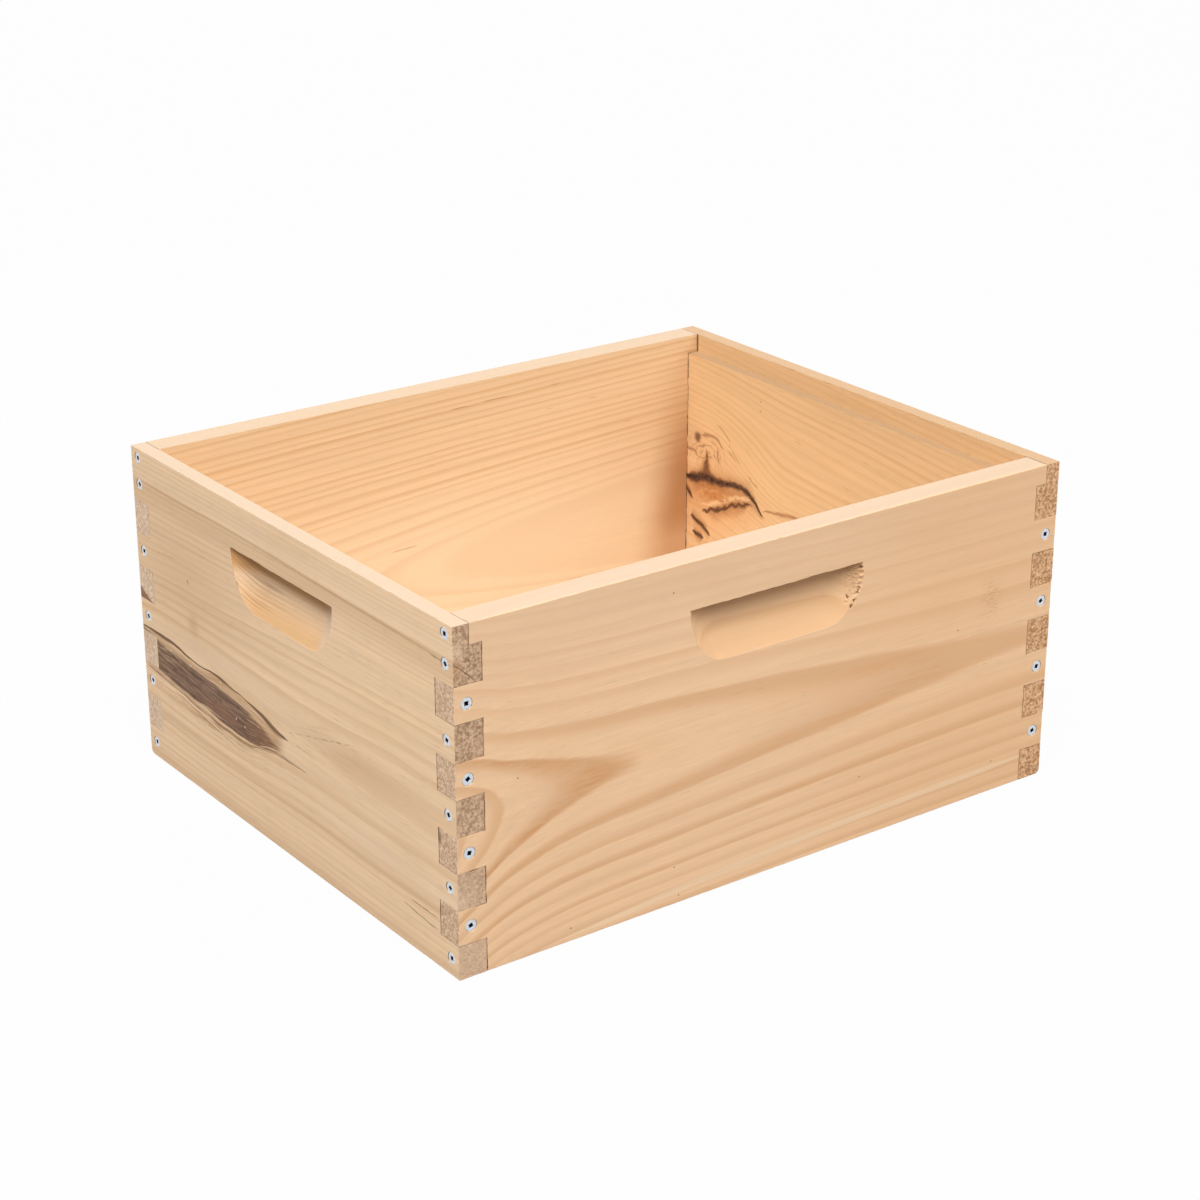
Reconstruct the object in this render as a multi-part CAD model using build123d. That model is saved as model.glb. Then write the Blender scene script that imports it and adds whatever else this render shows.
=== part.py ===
from build123d import *
import os
from math import radians, tan

# Driving dimensions, in millimetres

# The box: a deep hive body for ten frames
inside_length = 466.7
inside_width = 374.7
box_height = 241.3
board_thickness = 20.6

# Finger joints at the four corners
finger_height = 25.4
finger_gap = 0.15
shoulder_gap = 0.35

# Frame rests, cut along the top inner edge of both end boards
rest_depth = 14.3
rest_width = 9.0

# Scooped hand holds, one on each board
grip_drop = 33.8
grip_height = 40.0
grip_depth = 12.0
grip_end_run = 31.0
end_grip_length = 133.0
side_grip_length = 146.0

# Bottom outer edges that are rounded over, along the rear and the left
round_over = 4.0

# Countersunk wood screws with a square recess
screw_length = 40.0
head_diameter = 8.3
head_angle = 82.0
head_rim = 0.35
head_sink = 0.25
shank_diameter = 3.2
shank_length = 17.0
thread_diameter = 4.2
core_diameter = 2.7
thread_pitch = 2.8
thread_ridge = 1.2
point_length = 6.0
recess_width = 2.85
recess_depth = 2.6
recess_turn = 37.0

# Screw holes
hole_clearance = 0.06
passing_clearance = 0.2
screw_shift = 1.0

# Room for a cutter to start outside the wood
overshoot = 1.0

# Sizes that follow from the driving dimensions

box_length = inside_length + 2 * board_thickness
box_width = inside_width + 2 * board_thickness
half_length = box_length / 2
half_width = box_width / 2
rest_level = box_height - rest_depth
lip_thickness = board_thickness - rest_width
screw_inset = board_thickness / 2 - screw_shift

# The side boards' fingers are counted down from the end boards' tall top finger
top_finger_low = rest_level - finger_height
finger_pitch = 2 * finger_height
side_finger_count = int((top_finger_low + finger_height / 2) // finger_pitch)
side_fingers = []
for place in range(side_finger_count):
    high = top_finger_low - place * finger_pitch
    side_fingers.append((high - finger_height, high))

# The end boards' fingers fill what is left, from the rim down to the floor
end_fingers = []
upper_end = box_height
for low, high in side_fingers:
    end_fingers.append((high, upper_end))
    upper_end = low
end_fingers.append((0, upper_end))

# Heights of the screws: one in the middle of each finger, and one more in each end board's thin lip
side_screw_heights = [(low + high) / 2 for low, high in side_fingers]
top_finger_middle = (top_finger_low + rest_level) / 2
lip_middle = (rest_level + box_height) / 2
end_screw_heights = [lip_middle, top_finger_middle]
end_screw_heights += [(low + high) / 2 for low, high in end_fingers[1:]]


def box_between(first, second):
    """A box from one corner to the opposite one, given in any order."""
    low = [min(pair) for pair in zip(first, second)]
    size = [abs(b - a) for a, b in zip(first, second)]
    return Pos(*low) * Box(*size, align=(Align.MIN, Align.MIN, Align.MIN))


def grip_cutter(length):
    """The sweep of a hand-hold cutter into a face that looks along -Y, with its flat top wall at Z = 0."""
    floor_radius = (grip_height**2 + grip_depth**2) / (2 * grip_depth)
    axis_offset = (grip_end_run**2 - grip_depth**2) / (2 * grip_depth)
    half_travel = length / 2 - grip_end_run
    deepest = (grip_depth, 0)
    lowest = (0, -grip_height)
    scoop = RadiusArc(deepest, lowest, floor_radius)
    back = Polyline(lowest, (-axis_offset, -grip_height), (-axis_offset, 0), deepest)
    section = Plane.YZ * make_face([scoop, back])
    cutter = extrude(section, amount=half_travel, both=True)
    for end in (-half_travel, half_travel):
        spindle = Axis((end, -axis_offset, 0), (0, 0, 1))
        cutter += revolve(Pos(end, 0, 0) * section, axis=spindle)
    return cutter


def rounding_cutter(length):
    """What a round-over takes off an edge along X whose wood lies at -Y and +Z of it."""
    corner = box_between((-length / 2, -round_over, -overshoot), (length / 2, overshoot, round_over))
    kept = Pos(0, -round_over, round_over) * Rot(0, 90, 0) * Cylinder(round_over, length + overshoot)
    return corner - kept


def screw_outline(clearance, rise):
    """Half of a screw's outline, grown by a clearance, with its head carried up by a rise."""
    head_radius = head_diameter / 2 + clearance
    shank_radius = shank_diameter / 2 + clearance
    thread_radius = thread_diameter / 2 + clearance
    core_radius = core_diameter / 2 + clearance
    cone_height = (head_radius - shank_radius) / tan(radians(head_angle / 2))
    points = [(0, rise), (head_radius, rise), (head_radius, -head_rim)]
    points.append((shank_radius, -head_rim - cone_height))
    points.append((shank_radius, -shank_length))
    thread_end = screw_length - point_length
    for turn in range(int((thread_end - shank_length) // thread_pitch)):
        start = shank_length + turn * thread_pitch
        points.append((core_radius, -start))
        points.append((thread_radius, -start - thread_ridge / 2))
        points.append((core_radius, -start - thread_ridge))
    points.append((core_radius, -thread_end))
    points.append((0, -screw_length - clearance))
    return Plane.XZ * make_face(Polyline(*points, close=True))


def screw():
    """A wood screw that points down, with the top of its head at the origin."""
    body = revolve(screw_outline(0, 0), axis=Axis.Z)
    recess = box_between((-recess_width / 2, -recess_width / 2, -recess_depth),
                         (recess_width / 2, recess_width / 2, overshoot))
    return body - recess


def screw_hole():
    """The hole that a screw fills: countersink, shank, thread and point."""
    return revolve(screw_outline(hole_clearance, head_sink + overshoot), axis=Axis.Z)


def passing_hole():
    """The wider hole through the first board, so that the screw draws the two boards together."""
    radius = thread_diameter / 2 + passing_clearance
    return Cylinder(radius, board_thickness, align=(Align.CENTER, Align.CENTER, Align.MAX))


def end_screw_places(end, side):
    """Where screws go through an end board, at the corner with these signs of X and Y."""
    places = []
    for height in end_screw_heights:
        origin = (end * (half_length - head_sink), side * (half_width - screw_inset), height)
        places.append(Plane(origin=origin, x_dir=(0, 0, 1), z_dir=(end, 0, 0)).location)
    return places


def side_screw_places(end, side):
    """Where screws go through a side board, at the corner with these signs of X and Y."""
    places = []
    for height in side_screw_heights:
        origin = (end * (half_length - screw_inset), side * (half_width - head_sink), height)
        places.append(Plane(origin=origin, x_dir=(0, 0, 1), z_dir=(0, side, 0)).location)
    return places


def end_board(end):
    """The end board at this sign of X."""
    outer = end * half_length
    inner = end * (half_length - board_thickness)
    lip = end * (half_length - lip_thickness)
    board = box_between((outer, -half_width, 0), (inner, half_width, box_height))
    board -= box_between((lip, -half_width - overshoot, rest_level),
                         (inner - end * overshoot, half_width + overshoot, box_height + overshoot))
    for side in (-1, 1):
        tip = side * (half_width + overshoot)
        root = side * (half_width - board_thickness - shoulder_gap)
        far = inner - end * overshoot
        tongue_seat = rest_level - finger_gap
        board -= box_between((lip, tip, tongue_seat), (far, root, rest_level + overshoot))
        for low, high in side_fingers:
            board -= box_between((outer + end * overshoot, tip, low), (far, root, high))
    turn = Rot(0, 0, end * 90)
    board -= Pos(outer, 0, box_height - grip_drop) * turn * grip_cutter(end_grip_length)
    for side in (-1, 1):
        own_screws = end_screw_places(end, side)
        board -= [place * passing_hole() for place in own_screws]
        board -= [place * screw_hole() for place in own_screws + side_screw_places(end, side)]
    return board


def side_board(side):
    """The side board at this sign of Y."""
    outer = side * half_width
    inner = side * (half_width - board_thickness)
    board = box_between((-half_length, outer, 0), (half_length, inner, box_height))
    for end in (-1, 1):
        tip = end * (half_length + overshoot)
        root = end * (half_length - board_thickness - shoulder_gap)
        tongue_tip = end * (half_length - lip_thickness - shoulder_gap)
        near = outer + side * overshoot
        far = inner - side * overshoot
        board -= box_between((tip, near, rest_level), (tongue_tip, far, box_height + overshoot))
        for low, high in end_fingers:
            reach_up = min(high + finger_gap, rest_level)
            board -= box_between((tip, near, low - finger_gap), (root, far, reach_up))
    turn = Rot(0, 0, 90 + side * 90)
    board -= Pos(0, outer, box_height - grip_drop) * turn * grip_cutter(side_grip_length)
    for end in (-1, 1):
        own_screws = side_screw_places(end, side)
        board -= [place * passing_hole() for place in own_screws]
        board -= [place * screw_hole() for place in own_screws + end_screw_places(end, side)]
    return board


def screw_row(places):
    """One row of screws, each left with its recess turned another way."""
    one = screw()
    return Compound([place * Rot(0, 0, count * recess_turn) * one for count, place in enumerate(places)])


# The boards, with the bottom edge rounded over along the rear and the left

left_rounding = Pos(0, half_width, 0) * rounding_cutter(box_length + 2 * overshoot)
rear_rounding = Pos(half_length, 0, 0) * Rot(0, 0, -90) * rounding_cutter(box_width + 2 * overshoot)

nodes = {
    "front_end_board": end_board(-1) - left_rounding,
    "rear_end_board": end_board(1) - left_rounding - rear_rounding,
    "right_side_board": side_board(-1),
    "left_side_board": side_board(1) - left_rounding,
}

# The screws, one row to each board at each corner

for end, end_name in ((-1, "front"), (1, "rear")):
    for side, side_name in ((-1, "right"), (1, "left")):
        corner = f"{end_name}_{side_name}"
        nodes[f"{corner}_end_screws"] = screw_row(end_screw_places(end, side))
        nodes[f"{corner}_side_screws"] = screw_row(side_screw_places(end, side))

# One file for each node

os.makedirs("parts", exist_ok=True)
for name, shape in nodes.items():
    export_step(shape, f"parts/{name}.step")
    box = shape.bounding_box()
    print(f"{name}: {len(shape.solids())} solids, {box.size.X:.1f} x {box.size.Y:.1f} x {box.size.Z:.1f} mm")
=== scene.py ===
# %% [markdown]
# # A hive body in planed pine
# A hive body is a box without floor or lid. Four pine boards meet in finger joints, and screws hold the
# corners. The frame already gives every piece its true shape and place, so this lesson is about the finish:
# boards with eased, slightly worn edges, wood that is grown in three dimensions, and bright screws.

# %% Load the frame
from math import cos, radians, sin

import bmesh
import bpy
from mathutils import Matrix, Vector, noise


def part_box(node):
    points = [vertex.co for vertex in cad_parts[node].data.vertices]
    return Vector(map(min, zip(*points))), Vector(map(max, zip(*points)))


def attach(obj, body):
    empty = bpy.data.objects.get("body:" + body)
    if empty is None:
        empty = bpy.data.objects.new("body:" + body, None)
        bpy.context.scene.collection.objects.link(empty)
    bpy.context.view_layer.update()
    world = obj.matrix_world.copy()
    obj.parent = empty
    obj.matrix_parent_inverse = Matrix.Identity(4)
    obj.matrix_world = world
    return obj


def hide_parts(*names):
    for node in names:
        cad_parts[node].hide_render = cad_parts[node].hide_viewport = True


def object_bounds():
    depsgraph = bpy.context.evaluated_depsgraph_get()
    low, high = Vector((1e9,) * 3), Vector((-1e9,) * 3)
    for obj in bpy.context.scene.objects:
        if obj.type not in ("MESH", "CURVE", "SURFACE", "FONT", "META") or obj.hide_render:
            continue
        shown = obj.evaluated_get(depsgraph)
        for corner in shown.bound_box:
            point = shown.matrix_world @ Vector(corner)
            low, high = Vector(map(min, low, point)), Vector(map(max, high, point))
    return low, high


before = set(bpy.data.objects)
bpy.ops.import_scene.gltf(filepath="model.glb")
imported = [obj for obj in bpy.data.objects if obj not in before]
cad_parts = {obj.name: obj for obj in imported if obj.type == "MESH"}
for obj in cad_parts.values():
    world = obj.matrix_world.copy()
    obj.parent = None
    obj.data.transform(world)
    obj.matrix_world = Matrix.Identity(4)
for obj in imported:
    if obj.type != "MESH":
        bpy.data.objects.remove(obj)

MM = 0.001
cad_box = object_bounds()
half_length = cad_box[1].x / MM
half_width = cad_box[1].y / MM
box_height = cad_box[1].z / MM
board_thickness = (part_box("front_end_board")[1].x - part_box("front_end_board")[0].x) / MM
print(f"box {2 * half_length:.1f} x {2 * half_width:.1f} x {box_height:.1f} mm")
print(f"boards {board_thickness:.1f} mm thick")

# %% [markdown]
# ## The camera
# The picture was taken from the box's near corner, a little above its rim. A long lens keeps the edges
# nearly parallel. The camera could be aimed with a constraint, but a plain place and direction are easier
# to read.

# %% Camera
camera_place = Vector((-1.0504, -1.4441, 0.8574))
camera_turn = radians(-36.23)
camera_drop = radians(22.18)
lens_length = 80.2
sensor_width = 36.0

camera_data = bpy.data.cameras.new("camera")
camera_data.lens = lens_length
camera_data.sensor_width = sensor_width
camera = bpy.data.objects.new("camera", camera_data)
camera.location = camera_place
camera.rotation_euler = (radians(90) - camera_drop, 0, camera_turn)
bpy.context.scene.collection.objects.link(camera)
bpy.context.scene.camera = camera
print(f"camera {camera_place.length:.2f} m from the origin, lens {lens_length} mm")

# %% [markdown]
# ## Shader maths in plain Python
# A shader is a web of nodes. Wired by hand, a formula such as `1 - mask * 0.5` takes several lines, so one
# small class wraps a socket and lets Python's own operators add the Math nodes. Every other node comes from
# one method.

# %% Wires


def find_socket(sockets, key):
    """A socket by its place, its identifier or its name."""
    if isinstance(key, int):
        return sockets[key]
    return next(s for s in sockets if key in (s.identifier, s.name))


def draw_curve(mapping, points):
    """Puts the points of a line from (0, ...) to (1, ...) into a curve."""
    curve = mapping.curves[0]
    curve.points[0].location = points[0]
    curve.points[-1].location = points[-1]
    for place, value in points[1:-1]:
        curve.points.new(place, value)
    mapping.update()


class Wire:
    """One socket of a shader tree. Arithmetic on wires adds Math nodes to that tree."""

    def __init__(self, socket):
        self.socket = socket

    def node(self, kind, settings=None, inputs=None, output=0):
        """Adds a node: its settings first, then the values or wires of its inputs. Gives one output."""
        tree = self.socket.id_data
        made = tree.nodes.new(kind)
        for name, value in (settings or {}).items():
            if name == "points":
                draw_curve(made.mapping, value)
            else:
                setattr(made, name, value)
        for key, value in (inputs or {}).items():
            socket = find_socket(made.inputs, key)
            if isinstance(value, Wire):
                tree.links.new(value.socket, socket)
            else:
                socket.default_value = value
        return Wire(find_socket(made.outputs, output)) if made.outputs else None

    def math(self, operation, *others):
        """A Math node with this wire in its first place."""
        return self.node("ShaderNodeMath", {"operation": operation}, dict(enumerate((self, *others))))

    def __add__(self, other):
        return self.math("ADD", other)

    def __radd__(self, other):
        return self.math("ADD", other)

    def __sub__(self, other):
        return self.math("SUBTRACT", other)

    def __rsub__(self, other):
        return self.node("ShaderNodeMath", {"operation": "SUBTRACT"}, {0: other, 1: self})

    def __mul__(self, other):
        return self.math("MULTIPLY", other)

    def __rmul__(self, other):
        return self.math("MULTIPLY", other)

    def __truediv__(self, other):
        return self.math("DIVIDE", other)

    def __pow__(self, other):
        return self.math("POWER", other)

    def __abs__(self):
        return self.math("ABSOLUTE")


print("wires ready")

# %% [markdown]
# ## Everyday shapes of a value
# Most of a shader's work is a handful of moves: a soft step, a bump, noise, and mixing colours. With a name
# each, the wood further down reads almost like a description of wood.

# %% Steps and noise


def smooth(value, start, end):
    """Goes gently from 0 to 1 as the value goes from start to end."""
    settings = {"interpolation_type": "SMOOTHSTEP"}
    return value.node("ShaderNodeMapRange", settings, {"Value": value, "From Min": start, "From Max": end})


def band(value, start, full, fading, end):
    """1 from full to fading, and 0 before start and after end, with soft steps between."""
    return smooth(value, start, full) * smooth(value, end, fading)


def bell(value):
    """1 where the value is 0, falling away to 0 on both sides."""
    return (value * value * -1.0).math("EXPONENT")


def most(masks):
    """The strongest of several masks."""
    strongest = masks[0]
    for mask in masks[1:]:
        strongest = strongest.math("MAXIMUM", mask)
    return strongest


def vector(x, y, z):
    return x.node("ShaderNodeCombineXYZ", None, {0: x, 1: y, 2: z})


def clouds(point, detail=2.0, roughness=0.5):
    """Soft noise about as wide as 1, from -1 to 1 around 0."""
    inputs = {"Vector": point, "Scale": 1.0, "Detail": detail, "Roughness": roughness}
    return point.node("ShaderNodeTexNoise", None, inputs, "Fac") * 2.0 - 1.0


print("steps and noise ready")

# %% Colours


def tint(red, green, blue):
    """A colour as it is read off a screen, from 0 to 255, made linear for the shader."""
    shares = [channel / 255 for channel in (red, green, blue)]
    linear = [s / 12.92 if s <= 0.04045 else ((s + 0.055) / 1.055) ** 2.4 for s in shares]
    return (*linear, 1.0)


def mix(share, first, second):
    """The first colour where the share is 0, the second where it is 1."""
    inputs = {"Factor_Float": share, "A_Color": first, "B_Color": second}
    return share.node("ShaderNodeMix", {"data_type": "RGBA"}, inputs, "Result_Color")


def coats(colour, layers):
    """Lays colours over a colour in turn, each as strong as its mask."""
    for share, layer in layers:
        colour = mix(share, colour, layer)
    return colour


def shade(colour, value):
    """A colour made darker or lighter by a value."""
    settings = {"data_type": "RGBA", "blend_type": "MULTIPLY"}
    inputs = {"Factor_Float": 1.0, "A_Color": colour, "B_Color": value}
    return value.node("ShaderNodeMix", settings, inputs, "Result_Color")


print("colours ready")

# %% [markdown]
# ## Where a point lies in its board
# Wood is grown, not painted: the same rings run through faces, edges and ends. So the shader first works out
# where a point lies in its board, in millimetres: along the grain, into the wood from the face that the
# picture shows, and down from the rim. All other steps are built on these three numbers.

# %% Board coordinates


def new_material(name):
    """An empty material and the wires of its object coordinates in millimetres."""
    material = bpy.data.materials.new(name)
    material.use_nodes = True
    material.node_tree.nodes.clear()
    coordinates = material.node_tree.nodes.new("ShaderNodeTexCoord")
    place = Wire(coordinates.outputs["Object"])
    split = [place.node("ShaderNodeSeparateXYZ", None, {0: place}, axis) / MM for axis in range(3)]
    return material, split


def facing(wire, axis):
    """How much of the surface's own direction lies along an axis."""
    geometry = wire.node("ShaderNodeNewGeometry", None, None, "Normal")
    return geometry.node("ShaderNodeSeparateXYZ", None, {0: geometry}, axis)


print("board coordinates ready")

# %% [markdown]
# ## Growth rings
# A ring is a tube round the tree's middle, the pith, which lies a few centimetres outside the board. Cut by
# a flat face, the tubes give straight lines where the pith runs level and pointed arches where it leans.
# Each year the wood starts pale, darkens slowly from the middle of the ring on and fades fast at its end,
# so the tone is a ramp across each ring.

# %% Rings


def ring_distance(grain, across, down, pith_across, pith_down, wobble):
    """Distance from the pith, with the slow wobble that real rings have."""
    slow = clouds(vector(grain / 190.0, across / 30.0, down / 42.0), 1.0)
    quick = clouds(vector(grain / 45.0, across / 9.0, down / 9.0), 1.0)
    sideways = across - pith_across
    upright = down - pith_down
    distance = (sideways * sideways + upright * upright) ** 0.5
    return distance + slow * wobble + quick * (wobble * 0.22)


def late_wood(phase, evenness):
    """How much dark late wood there is, from the count of rings. Rings differ in strength."""
    share = phase.math("FRACT")
    ring = phase.math("FLOOR")
    strength = ring.node("ShaderNodeTexWhiteNoise", {"noise_dimensions": "1D"}, {"W": ring}, "Value")
    strength = strength * (1.0 - evenness) + evenness
    return band(share, 0.35, 0.86, 0.88, 1.0) * strength


print("rings ready")

# %% [markdown]
# ## Fibres, resin and end grain
# Close up, pine shows fine fibres along the grain, short brown resin ducts, and on the cut ends a coarse,
# darker speckle. All three are noise that is stretched by different amounts: long and thin along the grain,
# round on the ends.

# %% Fibres, resin and end grain
duct_length = 20.0
duct_width = 1.2
coarse_speck = 1.9
fine_speck = 0.8


def fibre_tone(grain, ring, across):
    """Fine streaks along the grain, in four widths."""
    hair = clouds(vector(grain / 24.0, ring / 0.5, across / 0.5), 2.0, 0.6)
    thin = clouds(vector(grain / 45.0, ring / 1.3, across / 1.3), 2.0, 0.6)
    broad = clouds(vector(grain / 120.0, ring / 3.5, across / 3.5), 1.0)
    wide = clouds(vector(grain / 260.0, ring / 11.0, across / 11.0), 1.0)
    return hair * 0.5 + thin * 0.6 + broad * 0.45 + wide * 0.4


def resin_ducts(grain, ring, across, rarity):
    """Short dashes along the grain: one in a few cells of a stretched cell pattern."""
    point = vector(grain / duct_length, ring / duct_width, across / duct_width)
    cells = {"Vector": point, "Scale": 1.0}
    nearness = smooth(point.node("ShaderNodeTexVoronoi", None, cells, "Distance"), 0.3, 0.1)
    draw = point.node("ShaderNodeTexVoronoi", None, cells, "Color")
    chosen = smooth(draw.node("ShaderNodeSeparateColor", None, {0: draw}), rarity, rarity + 0.04)
    return nearness * chosen


def end_speckle(x, y, z):
    """The speckle of sawn end grain, in two sizes."""
    coarse = clouds(vector(x / coarse_speck, y / coarse_speck, z / coarse_speck), 1.0)
    fine = clouds(vector(x / fine_speck, y / fine_speck, z / fine_speck), 1.0)
    return coarse * 0.95 + fine * 0.5


print(f"ducts {duct_length:.0f} mm long, speckle of {fine_speck} and {coarse_speck} mm")

# %% [markdown]
# ## One pine for four boards
# The boards come from different trees and parts of a tree, so one function makes the wood and each board
# gives its own rings, tones and marks. A mark is a function that changes the colour and the height of the
# surface. Dirt and painted shade darken the joints and the wood round the screws, just below the outer skin
# of the wood. The top faces take a colour of their own, darker than the faces, as painted shade.

# %% Pine
sheen_level = 0.2
bump_depth = 0.12 * MM
plain_roughness = 0.66
resin_brown = tint(150, 100, 58)
# Dirt and painted shade for the joints and the wood round the screws.
joint_dirt_and_shade = tint(84, 58, 42)


def joint_dirt_and_shade_mask(grain, across, half_grain, level):
    """Where dirt and painted shade go: below the skin, in the width of the finger joint, and not on level
    faces.
    """
    depth = across.math("MINIMUM", board_thickness - across)
    tip = half_grain - abs(grain - half_grain)
    joint = band(tip, 1.5, 3.0, board_thickness + 1.2, board_thickness + 2.2)
    return smooth(depth, 0.12, 0.42) * joint * (1.0 - level)


def finish_material(colour, rough, height):
    """Ends a material with a surface of a colour, a roughness and a height."""
    inputs = {"Height": height, "Strength": 1.0, "Distance": bump_depth}
    bump = height.node("ShaderNodeBump", None, inputs, "Normal")
    inputs = {"Base Color": colour, "Roughness": rough, "Normal": bump, "Specular IOR Level": sheen_level}
    surface = colour.node("ShaderNodeBsdfPrincipled", None, inputs, "BSDF")
    surface.node("ShaderNodeOutputMaterial", None, {"Surface": surface})


def pine(name, place, growth, tones, marks):
    """A board's wood. place, growth and marks are functions, tones a set of colours and strengths."""
    material, (x, y, z) = new_material(name)
    grain, across, down, end_axis = place(x, y, z)
    grain_seed = grain + tones["seed"]
    ring, sideways, phase = growth(grain, across, down)
    fibre = fibre_tone(grain_seed, ring, sideways)
    late = late_wood(phase + fibre * 0.05, tones["evenness"]) * (1.0 + fibre * 0.9)
    late = late * tones["contrast"](ring, grain, across, down)
    ducts = resin_ducts(grain_seed, ring, sideways, tones["duct_rarity"])
    patches = clouds(vector(grain_seed / 120.0, across / 40.0, down / 45.0), 2.0)

    colour = mix(late, tones["early"], tones["late"])
    colour = mix(smooth(patches, 0.0, 0.7) * 0.5, colour, tones["patch"])
    colour = shade(colour, 1.0 + fibre * tones["fibre"])
    colour = mix(ducts * tones["duct_strength"], colour, resin_brown)

    end = smooth(abs(facing(x, end_axis)), 0.42, 0.9)
    speckle = end_speckle(x, y, z)
    end_colour = mix(smooth(speckle, -0.55, 0.55), tones["end_dark"], tones["end_light"])
    end_colour = mix(late * 0.4, end_colour, tones["end_dark"])
    # The top faces take the rim colour, darker than the faces: painted shade, because they get more light.
    rim = smooth(facing(x, 2), 0.8, 0.95)
    colour = coats(colour, [(end, end_colour), (rim * 0.85, tones["rim"])])
    ripple = (grain * 2.9 + patches * 3.0).math("SINE")
    colour = shade(colour, 1.0 + ripple * rim * 0.015)

    height = fibre * 0.3 + late * 0.15 + ripple * rim * 0.12 + end * speckle * 1.6 - ducts * 0.5
    colour, height = marks(colour, height, grain, across, down)
    half_grain = (half_length, half_width)[end_axis]
    # Dirt and painted shade in the joints and round the screws.
    dirt_and_shade = joint_dirt_and_shade_mask(grain, across, half_grain, smooth(abs(facing(x, 2)), 0.6, 0.9))
    colour = mix(dirt_and_shade * 0.8, colour, joint_dirt_and_shade)
    finish_material(colour, plain_roughness - late * 0.06 + end * 0.2, height)
    print(f"{name}: {len(material.node_tree.nodes)} nodes")
    return material


# %% [markdown]
# ## Drawing marks
# Boards have bark pockets, knots, specks and cracks. They could be painted, but a mark that is worked out
# from a few points in millimetres stays sharp at any distance and sits in the same place on every run. A
# line runs through points along the grain and down from the rim, an oval has a middle and a reach both ways,
# and a little noise makes them as ragged as torn wood.

# %% Lines, specks and ovals


def line(grain, route):
    """How far down a line lies that runs through a few points."""
    start, end = route[0][0], route[-1][0]
    downs = [down for along, down in route]
    low, span = min(downs), max(downs) - min(downs)
    points = [((along - start) / (end - start), (down - low) / span) for along, down in route]
    share = (grain - start) / (end - start)
    return grain.node("ShaderNodeFloatCurve", {"points": points}, {"Value": share}) * span + low


def veins(grain, down, routes, width, fade, core=0.3):
    """Lines that thin out at both ends, as one mask. The core is the share of the width that is full."""
    masks = []
    for route in routes:
        start, end = route[0][0], route[-1][0]
        reach = band(grain, start, start + fade, end - fade, end) * width
        masks.append(smooth(abs(down - line(grain, route)), reach, reach * core))
    return most(masks)


def specks(grain, down, places, size):
    """Small round spots, as one mask."""
    point = vector(grain, down, 0.0)
    masks = []
    for place in places:
        ends = {0: point, 1: (*place, 0.0)}
        gap = point.node("ShaderNodeVectorMath", {"operation": "DISTANCE"}, ends, "Value")
        masks.append(smooth(gap, size, size * 0.4))
    return most(masks)


def patch(grain, down, middle, reach):
    """A soft oval round a middle, as a mask."""
    return bell((grain - middle[0]) / reach[0]) * bell((down - middle[1]) / reach[1])


print("lines, specks and ovals ready")

# %% Torn wood and hand holds
hold_top = 30.0
hold_bottom = 80.0


def ragged(grain, down, reach):
    """The depth below the rim, made uneven so that lines drawn on it look torn."""
    return down + clouds(vector(grain / 9.0, down / 2.5, 0.0), 3.0, 0.6) * reach


def warped(grain, down, size, reach, seed):
    """A place on the board, pushed about by soft noise, so that what is drawn there curls."""
    point = vector(grain / size, down / size, seed)
    push = point.node("ShaderNodeTexNoise", None, {"Vector": point, "Scale": 1.0, "Detail": 2.0}, "Color")
    along, upright = [push.node("ShaderNodeSeparateColor", None, {0: push}, channel) for channel in range(2)]
    return grain + (along - 0.5) * reach, down + (upright - 0.5) * reach


def hand_hold(grain, across, down, half_grain, half_hold):
    """The inside of a hand hold, from just below the outer face on, as a mask."""
    long = smooth(abs(grain - half_grain), half_hold, half_hold - 6.0)
    high = band(down, hold_top, hold_top + 3.0, hold_bottom - 4.0, hold_bottom)
    return band(across, 0.03, 0.2, 13.5, 15.0) * long * high


print(f"hand holds from {hold_top:.0f} to {hold_bottom:.0f} mm below the rim")

# %% [markdown]
# ## The right side board
# This board is sawn flat, with the bark side out: its rings make long arches that point to the near corner.
# The arches could be traced one by one, but they would end at the board's edges. So the pith lies behind
# the face and gets deeper along the board, quickly at first, and it drops near that corner.

# %% Right side board: rings
right_pith = [(0, 44.0), (20, 51.4), (50, 59.3), (100, 64.6), (150, 66.4), (250, 69.9), (350, 72.9),
              (450, 74.6), (510, 74.9)]
right_pith_down = 124.5
right_first_ring = 57.0
right_wide_ring = 9.5
right_close_from = 95.0
right_close_ring = 8.0


def right_place(x, y, z):
    return x + half_length, y + half_width, box_height - z, 0


def right_growth(grain, across, down):
    drop = (grain / -45.0).math("EXPONENT") * 17.0
    pith_down = right_pith_down + drop * smooth(down, 40.0, 110.0)
    ring = ring_distance(grain, across, down, line(grain, right_pith), pith_down, 0.7)
    wide = (ring - right_first_ring) / right_wide_ring
    wide_count = (right_close_from - right_first_ring) / right_wide_ring
    close = (ring - right_close_from) / right_close_ring + wide_count
    return ring, down - pith_down, wide.math("MAXIMUM", close)


print(f"right board: rings {right_wide_ring} mm wide in the middle, {right_close_ring} mm outside")

# %% [markdown]
# ### Its tints and painted shade
# The rings differ in strength, which is drawn as a line over the distance from the pith. Below the rim the
# board is painted greyer as shade, and the hand hold is painted darker as shade, most on its lower part and
# towards its upper lip. Its far half is warmer, and a pale stripe runs low along it. Thin coats over the
# wood give these tints and the painted shade, so that the rings still show through.

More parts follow.
